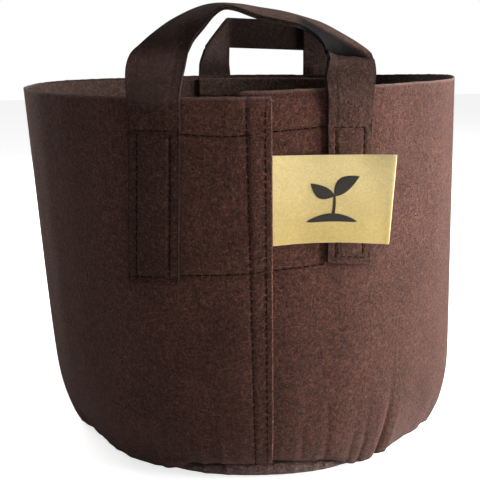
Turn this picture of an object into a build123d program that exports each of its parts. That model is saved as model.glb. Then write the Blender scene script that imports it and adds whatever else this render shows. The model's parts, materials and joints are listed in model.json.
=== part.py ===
"""Fabric grow bag: a round pot of thick felt with two sewn strap handles and a side label.

Frame: millimetres, origin at the centre of the base on the ground, +Z up.
The lap seam and the label are on the front, which faces -Y.
"""
from build123d import *
from math import asin, atan2, cos, exp, pi, radians, sin, sqrt, tan
import os

# ---------------------------------------------------------------- driving dimensions, mm
FELT = 2.0                     # thickness of one layer of felt
CLEAR = 0.15                   # gap left between two layers that lie on each other
FAR = 400.0                    # longer than anything on the bag, for cutting boxes

RIM_RADIUS = 152.4             # outside, 12 inch bag
WALL_HEIGHT = 244.0
SEAM_RADIUS = 135.0            # where the wall is sewn to the base
SEAM_HEIGHT = 8.0
TAPER = 6.0                    # the wall widens by this much from base to rim
TUCK_DEPTH = 14.0              # height over which the wall curves in to the base seam
FLOOR_RADIUS = 126.0           # flat part of the base that stands on the ground
SEAM_ALLOWANCE = 12.0          # both edges turned inward at the base seam

LAP_START = -6.0               # hidden edge of the under layer
LAP_END = 11.0                 # free edge of the over layer
LAP_ROWS = (-2.0, 8.0)         # two rows of stitches down the lap

THREAD_WIDTH = 1.0
THREAD_HEIGHT = 0.7
THREAD_LIFT = 0.05             # gap under a thread row

STRAP_THICKNESS = 3.0          # two thin plies
EDGE_ROW = 5.0                 # stitch row to strap edge
TOP_ROW_DROP = 20.0            # upper cross row below the rim
PATCH_MARGIN = 3.0             # inside patch beyond the outer strap edges
PATCH_DROP = 2.0               # patch top below the rim
HEM = 12.0                     # folded top of the inside patch

FOLD_RISE = 11.0               # strap fold line above the rim
FOLD_RADIUS = 145.0            # distance of the fold line from the bag's axis
WEDGE_ANGLE = 22.5             # half angle of the strap ends at the fold line
FOLD_GAP = 0.15                # half of the gap between the two strap ends

FRONT = {"turn": 0.0, "width": 29.0, "half_spacing": 58.0, "leg_lengths": (112.0, 102.0)}
REAR = {"turn": 174.6, "width": 26.0, "half_spacing": 46.5, "leg_lengths": (108.0, 108.0)}
FRONT_LOOP_RISE = 32.0         # strap centre line at the top, above the upper end of its straight part
FRONT_LOOP_LEAN = 8.0          # the top leans in over the bag
REAR_LOOP_TOP = 50.0           # top edge of the rear loop above the rim

LABEL_THICKNESS = 0.7
LABEL_BOTTOM = 156.0
LABEL_TOP = 209.0
LABEL_LENGTH = 68.5
LABEL_BEND = 1500.0            # plan radius of the hanging label
LABEL_HINGE_X = 13.0
LABEL_WEDGE_ANGLE = 14.0
INK = 0.2


# ---------------------------------------------------------------- the wall's surface
def radius_at(height):
    """Outside radius of the wall: a slight taper with a tuck towards the base seam."""
    taper = TAPER * (1 - height / WALL_HEIGHT)
    tuck_full = RIM_RADIUS - TAPER * (1 - SEAM_HEIGHT / WALL_HEIGHT) - SEAM_RADIUS
    tuck = tuck_full * exp(-(height - SEAM_HEIGHT) / TUCK_DEPTH)
    return RIM_RADIUS - taper - tuck


def profile(offset, bottom, top, count=8):
    """Curve of the wall's section, moved outward by offset; the points crowd towards the base."""
    steps = [(index / (count - 1)) ** 1.8 for index in range(count)]
    heights = [bottom + (top - bottom) * step for step in steps]
    return Spline([(radius_at(height) + offset, height) for height in heights])


def shell(inner, outer, bottom, top):
    """Closed ring between two offsets from the wall's outside surface."""
    inside = profile(inner, bottom, top)
    outside = profile(outer, bottom, top)
    ends = [Line(inside @ 0, outside @ 0), Line(inside @ 1, outside @ 1)]
    section = make_face([inside, outside] + ends)
    return revolve(Plane.XZ * section, Axis.Z)


def front_part(ring, left, right):
    """The part of a ring on the front between two x positions."""
    slab = Pos((left + right) / 2, -FAR / 2, 0) * Box(right - left, FAR, 4 * FAR)
    return ring & slab


def front_strip(inner, outer, bottom, top, left, right):
    return front_part(shell(inner, outer, bottom, top), left, right)


# ---------------------------------------------------------------- wall and base
def make_wall():
    """One sheet rolled into a tube, lapped at the front, with its bottom edge turned inward."""
    bottom = SEAM_HEIGHT + CLEAR
    outside = profile(0, bottom, WALL_HEIGHT, 12)
    inside = profile(-FELT, bottom + FELT, WALL_HEIGHT, 12)
    flange_end = SEAM_RADIUS - SEAM_ALLOWANCE
    rim = Line(outside @ 1, inside @ 1)
    flange = Polyline(inside @ 0, (flange_end, bottom + FELT), (flange_end, bottom), outside @ 0)
    wall = revolve(Plane.XZ * make_face([outside, rim, inside, flange]), Axis.Z)
    lap = front_strip(-FELT / 4, FELT, bottom + FELT, WALL_HEIGHT, LAP_START, LAP_END)
    pocket = front_strip(0, LABEL_THICKNESS + 2 * CLEAR, LABEL_BOTTOM - CLEAR, LABEL_TOP + CLEAR,
                         LAP_START + 2 * FELT, LAP_END + FELT)
    return wall + (lap - pocket)


def make_base():
    """Round panel: flat where it stands, curled up to the seam, with its edge turned inward."""
    top = SEAM_HEIGHT
    flange_end = SEAM_RADIUS - SEAM_ALLOWANCE
    inner_seam = SEAM_RADIUS - FELT
    under = TangentArc((FLOOR_RADIUS, 0), (SEAM_RADIUS, top), tangent=(1, 0))
    over = TangentArc((FLOOR_RADIUS, FELT), (inner_seam, top - FELT), tangent=(1, 0))
    floor = Polyline((FLOOR_RADIUS, FELT), (0, FELT), (0, 0), (FLOOR_RADIUS, 0))
    flange = Polyline((inner_seam, top - FELT), (flange_end, top - FELT), (flange_end, top),
                      (SEAM_RADIUS, top))
    return revolve(Plane.XZ * make_face([under, over, floor, flange]), Axis.Z)


def ring_row(radius, bottom):
    """A closed circle of stitches."""
    outer = Cylinder(radius + THREAD_WIDTH / 2, THREAD_HEIGHT, align=(Align.CENTER, Align.CENTER, Align.MIN))
    inner = Cylinder(radius - THREAD_WIDTH / 2, THREAD_HEIGHT, align=(Align.CENTER, Align.CENTER, Align.MIN))
    return Pos(0, 0, bottom) * (outer - inner)


def make_base_thread():
    """The base seam's stitches show on both sides of the turned-in edges."""
    radius = SEAM_RADIUS - SEAM_ALLOWANCE / 2
    above = ring_row(radius, SEAM_HEIGHT + CLEAR + FELT + THREAD_LIFT)
    below = ring_row(radius, SEAM_HEIGHT - FELT - THREAD_LIFT - THREAD_HEIGHT)
    return [above, below]


def upright_row(x, offset, bottom, top):
    """Stitches running up the wall on top of a layer whose face is at the given offset."""
    low = offset + THREAD_LIFT
    return front_strip(low, low + THREAD_HEIGHT, bottom, top, x - THREAD_WIDTH / 2, x + THREAD_WIDTH / 2)


def level_row(offset, height, left, right):
    """Stitches running around the wall on top of a layer whose face is at the given offset."""
    low = offset + THREAD_LIFT
    return front_strip(low, low + THREAD_HEIGHT, height - THREAD_WIDTH / 2, height + THREAD_WIDTH / 2,
                       left, right)


def make_lap_thread():
    bottom = SEAM_HEIGHT + 2 * FELT
    top = WALL_HEIGHT - FELT
    inside = -FELT - THREAD_HEIGHT - 2 * THREAD_LIFT
    below_patch = WALL_HEIGHT - max(FRONT["leg_lengths"]) - 2 * FELT
    rows = []
    for x in LAP_ROWS:
        rows.append(upright_row(x, FELT, bottom, top))
        rows.append(upright_row(x, inside, bottom, below_patch))
    return rows


# ---------------------------------------------------------------- handles, drawn on the front side
def leg_length(handle, side):
    """The two legs of a handle are sewn down to slightly different lengths."""
    return handle["leg_lengths"][0 if side < 0 else 1]


def leg_edges(handle, side):
    centre = side * handle["half_spacing"]
    return centre - handle["width"] / 2, centre + handle["width"] / 2


def fold_point(handle, side):
    return Vector(side * handle["half_spacing"], -FOLD_RADIUS, WALL_HEIGHT + FOLD_RISE)


def wedge_height():
    return STRAP_THICKNESS / 2 / tan(radians(WEDGE_ANGLE))


def strap_end(handle, side, direction):
    """Pointed end of the strap at the fold line; direction +1 is the loop, -1 the leg."""
    centre = fold_point(handle, side)
    tip = centre.Z + direction * FOLD_GAP
    back = tip + direction * wedge_height()
    half = STRAP_THICKNESS / 2
    outline = Polyline((centre.Y, tip), (centre.Y + half, back), (centre.Y - half, back), close=True)
    face = Plane.YZ * make_face(outline)
    return Pos(centre.X, 0, 0) * extrude(face, handle["width"] / 2, both=True)


def strap_section(handle, centre, across, along):
    plane = Plane(origin=centre, x_dir=across, z_dir=along)
    return plane * Rectangle(handle["width"], STRAP_THICKNESS)


def make_leg(handle, side):
    """Sewn leg on the wall's outside and the short neck above the rim up to the fold line."""
    bottom = WALL_HEIGHT - leg_length(handle, side)
    left, right = leg_edges(handle, side)
    sewn = front_strip(CLEAR, CLEAR + STRAP_THICKNESS, bottom, WALL_HEIGHT, left, right)
    middle = RIM_RADIUS + CLEAR + STRAP_THICKNESS / 2
    turn = asin(side * handle["half_spacing"] / middle)
    start = Vector(middle * sin(turn), -middle * cos(turn), WALL_HEIGHT - CLEAR)
    end = fold_point(handle, side) - Vector(0, 0, FOLD_GAP + wedge_height())
    low = strap_section(handle, start, Vector(cos(turn), sin(turn), 0), Vector(0, 0, 1))
    high = strap_section(handle, end, Vector(1, 0, 0), Vector(0, 0, 1))
    neck = loft([low, high], ruled=True)
    return sewn + neck + strap_end(handle, side, -1)


def make_legs(handle):
    return turned(handle, [make_leg(handle, -1), make_leg(handle, 1)])


def make_front_loop(handle):
    """Arched strap that twists a quarter turn from each upright leg to the level grip."""
    base = fold_point(handle, 1).Z + FOLD_GAP + wedge_height()
    sections = []
    count = 13
    for index in range(count):
        angle = pi * index / (count - 1)
        rise = sin(angle)
        centre = Vector(-handle["half_spacing"] * cos(angle), FRONT_LOOP_LEAN * rise - FOLD_RADIUS,
                        base + FRONT_LOOP_RISE * rise)
        along = Vector(handle["half_spacing"] * sin(angle), 0, FRONT_LOOP_RISE * cos(angle)).normalized()
        outward = Vector(-along.Z, 0, along.X)
        twist = pi / 2 * rise ** 1.5
        across = outward * cos(twist) + Vector(0, 1, 0) * sin(twist)
        sections.append(strap_section(handle, centre, across, along))
    arch = loft(sections, ruled=True)
    return turned(handle, [arch + strap_end(handle, -1, 1) + strap_end(handle, 1, 1)])


def make_rear_loop(handle):
    """Upright legs folded over at 45 degrees into a level band that lies behind them."""
    base = fold_point(handle, 1).Z + FOLD_GAP + wedge_height()
    top = WALL_HEIGHT + REAR_LOOP_TOP
    width = handle["width"]
    inner = handle["half_spacing"] - width / 2
    outer = handle["half_spacing"] + width / 2
    half = STRAP_THICKNESS / 2
    legs = []
    for side in (-1, 1):
        outline = Polyline((side * outer, base), (side * outer, top - width), (side * inner, top),
                           (side * inner, base), close=True)
        leg = extrude(Plane.XZ * make_face(outline), half, both=True)
        legs.append(Pos(0, -FOLD_RADIUS, 0) * leg)
    outline = Polyline((-outer, top - width), (-inner, top), (inner, top), (outer, top - width), close=True)
    band = extrude(Plane.XZ * make_face(outline), half, both=True)
    band = Pos(0, -FOLD_RADIUS - STRAP_THICKNESS, 0) * band
    ends = strap_end(handle, -1, 1) + strap_end(handle, 1, 1)
    return turned(handle, [legs[0] + legs[1] + band + ends])


def make_patch(handle):
    """Reinforcing felt on the inside behind one handle, its top edge folded into a hem."""
    reach = handle["half_spacing"] + handle["width"] / 2 + PATCH_MARGIN
    bottom = WALL_HEIGHT - max(handle["leg_lengths"]) + PATCH_MARGIN
    top = WALL_HEIGHT - PATCH_DROP
    face = -FELT - CLEAR
    sheet = front_strip(face - FELT, face, bottom, top, -reach, reach)
    hem = front_strip(face - 2 * FELT, face - FELT / 2, top - HEM, top, -reach, reach)
    return turned(handle, [sheet + hem])


def make_handle_thread(handle):
    """Two edge rows and two cross rows on each leg."""
    face = CLEAR + STRAP_THICKNESS
    high = WALL_HEIGHT - TOP_ROW_DROP
    rows = []
    for side in (-1, 1):
        left, right = leg_edges(handle, side)
        low = WALL_HEIGHT - leg_length(handle, side) + EDGE_ROW
        frame = upright_row(left + EDGE_ROW, face, low, high)
        frame += upright_row(right - EDGE_ROW, face, low, high)
        frame += level_row(face, high, left + 1, right - 1)
        frame += level_row(face, low, left + 1, right - 1)
        rows.append(frame)
    return turned(handle, rows)


def make_patch_thread(handle, gaps):
    """The cross rows between the legs, outside and inside; gaps are x spans that a row skips."""
    inner = handle["half_spacing"] - handle["width"] / 2 - 0.5
    reach = handle["half_spacing"] + handle["width"] / 2
    inside_face = -2 * FELT - CLEAR - THREAD_HEIGHT - 2 * THREAD_LIFT
    low_drop = sum(handle["leg_lengths"]) / 2 - EDGE_ROW
    rows = []
    for drop in (TOP_ROW_DROP, low_drop):
        height = WALL_HEIGHT - drop
        spans = [(-inner, inner)]
        if gaps:
            spans = [(-inner, gaps[0]), (gaps[1], inner)]
            rows.append(level_row(FELT, height, gaps[0] + 1, gaps[1] - 1) - lap_rows_clearance())
        for left, right in spans:
            rows.append(level_row(0, height, left, right))
        rows.append(level_row(inside_face, height, -reach, reach))
    return turned(handle, rows)


def lap_rows_clearance():
    """Room for the lap's upright rows where a cross row meets them."""
    room = THREAD_WIDTH + 2 * CLEAR
    boxes = [Pos(x, -FAR / 2, 0) * Box(room, FAR, 4 * FAR) for x in LAP_ROWS]
    return boxes[0] + boxes[1]


def turned(handle, solids):
    """A handle is drawn at the front and turned about the bag's axis to its place."""
    return [Rot(0, 0, handle["turn"]) * solid for solid in solids]


# ---------------------------------------------------------------- label
def label_frame():
    """Plane at the label's fold line: x along the label, z up the wall."""
    middle = (LABEL_BOTTOM + LABEL_TOP) / 2
    low = radius_at(LABEL_BOTTOM)
    high = radius_at(LABEL_TOP)
    lean = atan2(high - low, LABEL_TOP - LABEL_BOTTOM)
    radius = radius_at(middle) + CLEAR + LABEL_THICKNESS / 2
    depth = sqrt(radius ** 2 - LABEL_HINGE_X ** 2)
    return Plane(origin=(LABEL_HINGE_X, -depth, middle), x_dir=(1, 0, 0), z_dir=(0, -sin(lean), cos(lean)))


def label_wedge(direction):
    """Pointed end of the label at its fold line."""
    half = LABEL_THICKNESS / 2
    back = label_wedge_length()
    tip = (direction * FOLD_GAP, 0)
    outline = Polyline(tip, (direction * back, half), (direction * back, -half), close=True)
    height = LABEL_TOP - LABEL_BOTTOM
    return label_frame() * extrude(make_face(outline), height / 2, both=True)


def label_wedge_length():
    return FOLD_GAP + LABEL_THICKNESS / 2 / tan(radians(LABEL_WEDGE_ANGLE))


def make_label_tab():
    """Margin of the label that lies inside the lap and is caught by its outer row."""
    start = LAP_START + 3 * FELT
    end = LABEL_HINGE_X - label_wedge_length() + CLEAR
    sewn = front_strip(CLEAR, CLEAR + LABEL_THICKNESS, LABEL_BOTTOM, LABEL_TOP, start, end)
    return [sewn + label_wedge(-1)]


def label_layer(low, high, start, end, bottom, top):
    """Part of the bent label sheet between two offsets from its middle and two lengths along it."""
    def at(length, offset):
        angle = length / LABEL_BEND
        radius = LABEL_BEND + offset
        return (radius * sin(angle), LABEL_BEND - radius * cos(angle))

    middle = (start + end) / 2
    near = ThreePointArc(at(start, low), at(middle, low), at(end, low))
    far = ThreePointArc(at(start, high), at(middle, high), at(end, high))
    ends = [Line(near @ 0, far @ 0), Line(near @ 1, far @ 1)]
    layer = extrude(make_face([near, far] + ends), top - bottom)
    return Pos(0, 0, bottom) * layer


def make_label_flap():
    half = LABEL_THICKNESS / 2
    tall = (LABEL_TOP - LABEL_BOTTOM) / 2
    sheet = label_layer(-half, half, label_wedge_length() - 0.05, LABEL_LENGTH, -tall, tall)
    return [label_frame() * sheet + label_wedge(1)]


def leaf(length, width):
    """Pointed leaf outline from the origin along +X."""
    upper = ThreePointArc((0, 0), (length / 2, width / 2), (length, 0))
    lower = ThreePointArc((0, 0), (length / 2, -width / 2), (length, 0))
    return make_face([upper, lower])


def make_label_print():
    """Plain seedling: a soil line, a stem and two leaves."""
    centre = LABEL_LENGTH / 2 + 1
    half = LABEL_THICKNESS / 2
    tall = (LABEL_TOP - LABEL_BOTTOM) / 2
    drawing = Pos(0, -13) * Rectangle(30, 1.6)
    drawing += Pos(0, -4.5) * Rectangle(1.8, 17)
    drawing += Pos(0, 2) * Rot(0, 0, 35) * leaf(19, 8)
    drawing += Pos(0, -1) * Rot(0, 0, 148) * leaf(15, 7)
    stamp = Plane.XZ * extrude(drawing, 30, both=True)
    ink = label_layer(half + 0.02, half + 0.02 + INK, 4, LABEL_LENGTH - 2, 1 - tall, tall - 1)
    return (label_frame() * (ink & (Pos(centre, 0, 0) * stamp))).solids()


# ---------------------------------------------------------------- write
def write(name, solids):
    shape = solids[0] if len(solids) == 1 else Compound(children=list(solids))
    export_step(shape, os.path.join("parts", name + ".step"))


def main():
    os.makedirs("parts", exist_ok=True)
    write("wall_panel", [make_wall()])
    write("base_panel", [make_base()])
    write("base_seam_thread", make_base_thread())
    write("lap_seam_thread", make_lap_thread())
    write("front_patch", make_patch(FRONT))
    write("front_patch_thread", make_patch_thread(FRONT, (LAP_START, LAP_END)))
    write("front_handle_legs", make_legs(FRONT))
    write("front_handle_thread", make_handle_thread(FRONT))
    write("front_handle_loop", make_front_loop(FRONT))
    write("rear_patch", make_patch(REAR))
    write("rear_patch_thread", make_patch_thread(REAR, ()))
    write("rear_handle_legs", make_legs(REAR))
    write("rear_handle_thread", make_handle_thread(REAR))
    write("rear_handle_loop", make_rear_loop(REAR))
    write("label_tab", make_label_tab())
    write("label_flap", make_label_flap())
    write("label_print", make_label_print())


if __name__ == "__main__":
    main()
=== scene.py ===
"""Looks of the fabric grow bag: a lapped felt wall, a sewn base, folded strap handles and a cloth label."""
import json
import math
import random

import bmesh
import bpy
import numpy as np
from mathutils import Matrix, Vector


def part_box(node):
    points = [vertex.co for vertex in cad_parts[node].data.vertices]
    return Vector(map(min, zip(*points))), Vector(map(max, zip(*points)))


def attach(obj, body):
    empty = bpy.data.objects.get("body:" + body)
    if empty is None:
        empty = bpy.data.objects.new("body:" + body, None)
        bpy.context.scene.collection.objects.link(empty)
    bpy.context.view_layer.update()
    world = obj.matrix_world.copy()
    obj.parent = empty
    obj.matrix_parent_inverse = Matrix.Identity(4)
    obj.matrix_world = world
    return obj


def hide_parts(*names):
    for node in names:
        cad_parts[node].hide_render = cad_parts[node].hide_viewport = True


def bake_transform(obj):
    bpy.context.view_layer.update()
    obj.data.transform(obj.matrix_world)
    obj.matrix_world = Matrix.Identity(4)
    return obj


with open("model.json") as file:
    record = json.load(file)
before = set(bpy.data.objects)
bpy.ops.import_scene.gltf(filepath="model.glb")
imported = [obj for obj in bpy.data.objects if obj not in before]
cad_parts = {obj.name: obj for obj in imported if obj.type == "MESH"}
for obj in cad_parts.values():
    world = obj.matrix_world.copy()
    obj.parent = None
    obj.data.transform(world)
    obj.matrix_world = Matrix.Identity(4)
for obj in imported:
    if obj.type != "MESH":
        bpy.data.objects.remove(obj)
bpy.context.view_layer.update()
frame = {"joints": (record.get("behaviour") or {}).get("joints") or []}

MM = 0.001
CLEAR = 0.15 * MM

# ------ sizes from the frame
wall_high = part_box("wall_panel")[1]
base_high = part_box("base_panel")[1]
label_low, label_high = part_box("label_flap")
JOINTS = {joint["name"]: joint for joint in frame["joints"]}
FOLD = Vector(JOINTS["front_handle_fold"]["pos_m"])
LABEL_HINGE = Vector(JOINTS["label_flip"]["pos_m"])
REAR_AXIS = Vector(JOINTS["rear_handle_fold"]["axis"])

RIM_RADIUS = wall_high.x
WALL_HEIGHT = wall_high.z
SEAM_RADIUS = base_high.x
SEAM_HEIGHT = base_high.z
REAR_TURN = math.atan2(REAR_AXIS.y, REAR_AXIS.x)

# ------ felt and seams, as in the CAD source
FELT = 2.0 * MM
TAPER = 6.0 * MM
TUCK_DEPTH = 14.0 * MM
LAP_START = -6.0 * MM
LAP_END = 11.0 * MM
LAP_OUTER_ROW = 8.0 * MM
STRAP = 3.0 * MM
EDGE_ROW = 5.0 * MM
TOP_ROW_DROP = 20.0 * MM
HEM = 12.0 * MM
LABEL_THICKNESS = 0.7 * MM

# ------ how the soft bag really stands
LEAN = 8.4 * MM                # the rim sits this much to the left of the base
RIM_START = 0.3 * MM           # the under layer's rim stands higher from the lap on
RIM_LIFT = 2.2 * MM
RIM_DROP = 1.0 * MM            # the over layer's rim stands lower
# Slow waves of the rim along the sheet: angle, width and height
RIM_WAVES = ((20, 35, 0.7), (88, 16, 0.7), (145, 32, -2.0), (250, 30, 1.4), (360, 45, -1.1))

# Soft creases that rise from the base seam: angle from the front, top height, depth, half width, slant
CREASES = (
    (36.8, 72, 3.6, 2.4, 1.0), (40.4, 50, -1.8, 2.2, 1.0), (33.6, 56, -1.3, 2.2, 0.8),
    (29.6, 64, 1.6, 1.9, 0.5), (25.6, 54, 1.2, 1.9, 0.5), (18.3, 92, 1.0, 1.9, 0.2),
    (11.8, 60, 1.0, 1.9, 0.0), (-7.4, 56, -1.5, 1.8, -1.8), (-9.6, 50, 1.1, 2.2, -1.8),
    (-13.8, 36, -1.8, 2.0, -3.0), (-17.0, 34, 1.3, 3.0, -3.0), (-27.0, 40, 0.9, 4.0, 1.0),
    (-41.0, 34, 1.0, 5.0, -1.0), (-63.0, 30, 2.0, 7.0, 1.0), (64.0, 40, 2.0, 6.0, -1.0),
)
REAR_CREASE_COUNT = 26
REAR_CREASE_ANGLES = (74, 286)  # from the front over the right side and the back to the left side
SLOW_WAVE = 1.1 * MM           # large soft waves of the wall
MEDIUM_WAVE = 0.35 * MM
GATHER = 0.45 * MM             # small ripples along the base seam
GATHER_HEIGHT = 9 * MM         # height over which the ripples fade out
# Flat spots and bulges of the base outline: angle and depth
FLATS_WIDTH = math.radians(11)
FLATS_HEIGHT = 26 * MM
FLATS = ((-56, 6.0), (50, 6.5), (-78, -1.5), (86, -7), (-8, -2.2), (13, -2.2), (128, 3.5), (-140, 4.0))
FRONT_MIDDLE = 1.8             # the base's curled edge shows at the front, around this angle
FRONT_GAP = (16, 28)           # angles either side over which the wall rolls down over the base seam
FRONT_RISE = 3.4 * MM          # the seam stands higher where the base shows
FRONT_RISE_WIDTH = math.radians(24)
UNDER_LIFT = 2.1 * MM          # the wall's under layer stands higher where the lap begins
ROLL_SINK = 8.6 * MM           # the wall sinks this much where it rolls down over the seam
ROLL_HEIGHT = 8 * MM
ROLL_TUCK = 2.4 * MM           # and comes in this much above the roll
BASE_TUCK = 4.5 * MM           # the base's curl stays back under the roll
# How far the last flange rows drop, and move outward, where the wall rolls down
ROLL = {-2.2: (1.5, 0.3), -1.2: (4.0, 0.0), -0.2: (6.4, -0.9)}


# ------ small helpers
def smoothstep(low, high, value):
    step = np.clip((value - low) / (high - low), 0, 1)
    return step * step * (3 - 2 * step)


def bump_at(value, centre, width):
    return np.exp(-((value - centre) / width) ** 2)


def wrap(angle):
    """Angle difference brought into -pi to pi."""
    return (angle + math.pi) % (2 * math.pi) - math.pi


def make_ripple(seed, orders):
    """Smooth closed wave around the bag, between about -1 and 1, that also drifts with height."""
    dice = random.Random(seed)
    waves = []
    for order in orders:
        waves.append((order, dice.uniform(0, 2 * math.pi), dice.uniform(-12, 12), dice.uniform(0.5, 1)))
    total = sum(wave[3] for wave in waves)

    def ripple(theta, height):
        value = 0
        for order, phase, drift, size in waves:
            value = value + size * np.sin(order * theta + phase + drift * height)
        return value / total * 1.6

    return ripple


slow_ripple = make_ripple(3, (2, 3, 4, 5, 7))
medium_ripple = make_ripple(5, (9, 13, 17, 22, 31))
gather_ripple = make_ripple(8, (37, 52, 71, 89, 113))
edge_ripple = make_ripple(12, (23, 41, 67, 97, 150))


def rear_creases():
    """Seeded creases for the part of the wall that the named ones leave out."""
    dice = random.Random(21)
    first, last = REAR_CREASE_ANGLES
    made = []
    for index in range(REAR_CREASE_COUNT):
        angle = first + (last - first) * (index + dice.uniform(0.2, 0.8)) / REAR_CREASE_COUNT
        depth = dice.choice((-1, 1, 1)) * dice.uniform(0.6, 2.2)
        made.append((angle, dice.uniform(25, 70), depth, dice.uniform(3, 6), dice.uniform(-2, 2)))
    return made


ALL_CREASES = CREASES + tuple(rear_creases())


# ------ the wall's surface
def wall_radius(height):
    taper = TAPER * (1 - height / WALL_HEIGHT)
    tuck_full = RIM_RADIUS - TAPER * (1 - SEAM_HEIGHT / WALL_HEIGHT) - SEAM_RADIUS
    return RIM_RADIUS - taper - tuck_full * np.exp(-(height - SEAM_HEIGHT) / TUCK_DEPTH)


def crease_depth(theta, height):
    """Inward dents of the creases; each fades out at its top height."""
    total = 0 * theta + 0 * height
    for angle, top, depth, width, slant in ALL_CREASES:
        share = np.clip((height - SEAM_HEIGHT) / (top * MM - SEAM_HEIGHT), 0, 1)
        centre = math.radians(angle) + math.radians(slant) * share
        across = wrap(theta - centre) * SEAM_RADIUS / (width * MM)
        total = total + depth * MM * np.exp(-across ** 2) * (1 - share) ** 1.3
    return total


def rim_rise(theta):
    """Height change of the rim around the sheet, from the under edge at 0 to the over edge at 2 pi."""
    around = np.degrees(theta)
    first = RIM_START + (RIM_LIFT - RIM_START) * smoothstep(-5, 45, around)
    waves = sum(height * MM * bump_at(around, angle, width) for angle, width, height in RIM_WAVES)
    return first - (RIM_LIFT + RIM_DROP) * smoothstep(100, 240, around) + waves


def flats(theta):
    """The base outline isn't quite round."""
    total = 0
    for angle, depth in FLATS:
        total = total + depth * MM * bump_at(wrap(theta - math.radians(angle)), 0, FLATS_WIDTH)
    return total


def around_rise(theta):
    """Rim height for pieces that cross the lap, where the sheet's own rim has a step."""
    side = wrap(theta)
    crossing = rim_rise(2 * math.pi) + (rim_rise(0) - rim_rise(2 * math.pi)) * smoothstep(-0.1, 0.1, side)
    return np.where(np.abs(side) < 0.1, crossing, rim_rise(theta % (2 * math.pi)))


def ring_points(theta, radius, height):
    return np.stack([radius * np.sin(theta), -radius * np.cos(theta), height + 0 * theta], -1)


def wall_point(theta, height, offset, sheet_angle=None):
    """Point on the wall; theta runs from the front to the right, offset is outward from the CAD surface."""
    theta = np.asarray(theta, float)
    height = np.asarray(height, float)
    share = height / WALL_HEIGHT
    radius = wall_radius(height) + offset
    radius = radius - LEAN * np.sin(theta) * share
    above = height - SEAM_HEIGHT
    radius = radius + SLOW_WAVE * slow_ripple(theta, height) * smoothstep(0, 0.5, share)
    radius = radius + MEDIUM_WAVE * medium_ripple(theta, height)
    radius = radius + GATHER * gather_ripple(theta, 0) * np.exp(-above / GATHER_HEIGHT)
    radius = radius - crease_depth(theta, height) - flats(theta) * np.exp(-above / FLATS_HEIGHT)
    rise = around_rise(theta) if sheet_angle is None else rim_rise(sheet_angle)
    return ring_points(theta, radius, height + rise * share ** 3)


def angle_of(x, height):
    return np.arcsin(np.clip(x / wall_radius(height), -1, 1))


def front_point(x, height, offset, turn=0.0):
    """Point on the wall at a sideways distance x from the middle of a handle."""
    x = np.asarray(x, float)
    theta = angle_of(x, height)
    for _ in range(2):
        point = turn_points(wall_point(theta + turn, height, offset), -turn)
        theta = theta + (x - point[..., 0]) / wall_radius(height)
    return wall_point(theta + turn, height, offset)


def turn_points(points, turn):
    """Points turned about the bag's axis."""
    c, s = math.cos(turn), math.sin(turn)
    x, y, z = points[..., 0], points[..., 1], points[..., 2]
    return np.stack([c * x - s * y, s * x + c * y, z], -1)


# ------ sheets with thickness
def grid_normals(grid, closed):
    """Unit normals of a grid of points; rows run first, columns second."""
    down = np.gradient(grid, axis=0)
    if closed:
        across = (np.roll(grid, -1, axis=1) - np.roll(grid, 1, axis=1)) / 2
    else:
        across = np.gradient(grid, axis=1)
    normal = np.cross(across, down)
    length = np.linalg.norm(normal, axis=-1, keepdims=True)
    return normal / np.maximum(length, 1e-12)


def grid_faces(index, closed, flip):
    """Quads between neighbouring points of a grid of vertex numbers."""
    if closed:
        index = np.concatenate([index, index[:, :1]], axis=1)
    a, b = index[:-1, :-1], index[:-1, 1:]
    c, d = index[1:, 1:], index[1:, :-1]
    quads = np.stack([a, b, c, d], -1).reshape(-1, 4)
    return quads[:, ::-1] if flip else quads


def add_object(name, data):
    made = bpy.data.objects.new(name, data)
    bpy.context.scene.collection.objects.link(made)
    return made


EDGE_STEPS = (45, 0, -45)      # a sheet's edge is rounded at these angles from its middle


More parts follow.
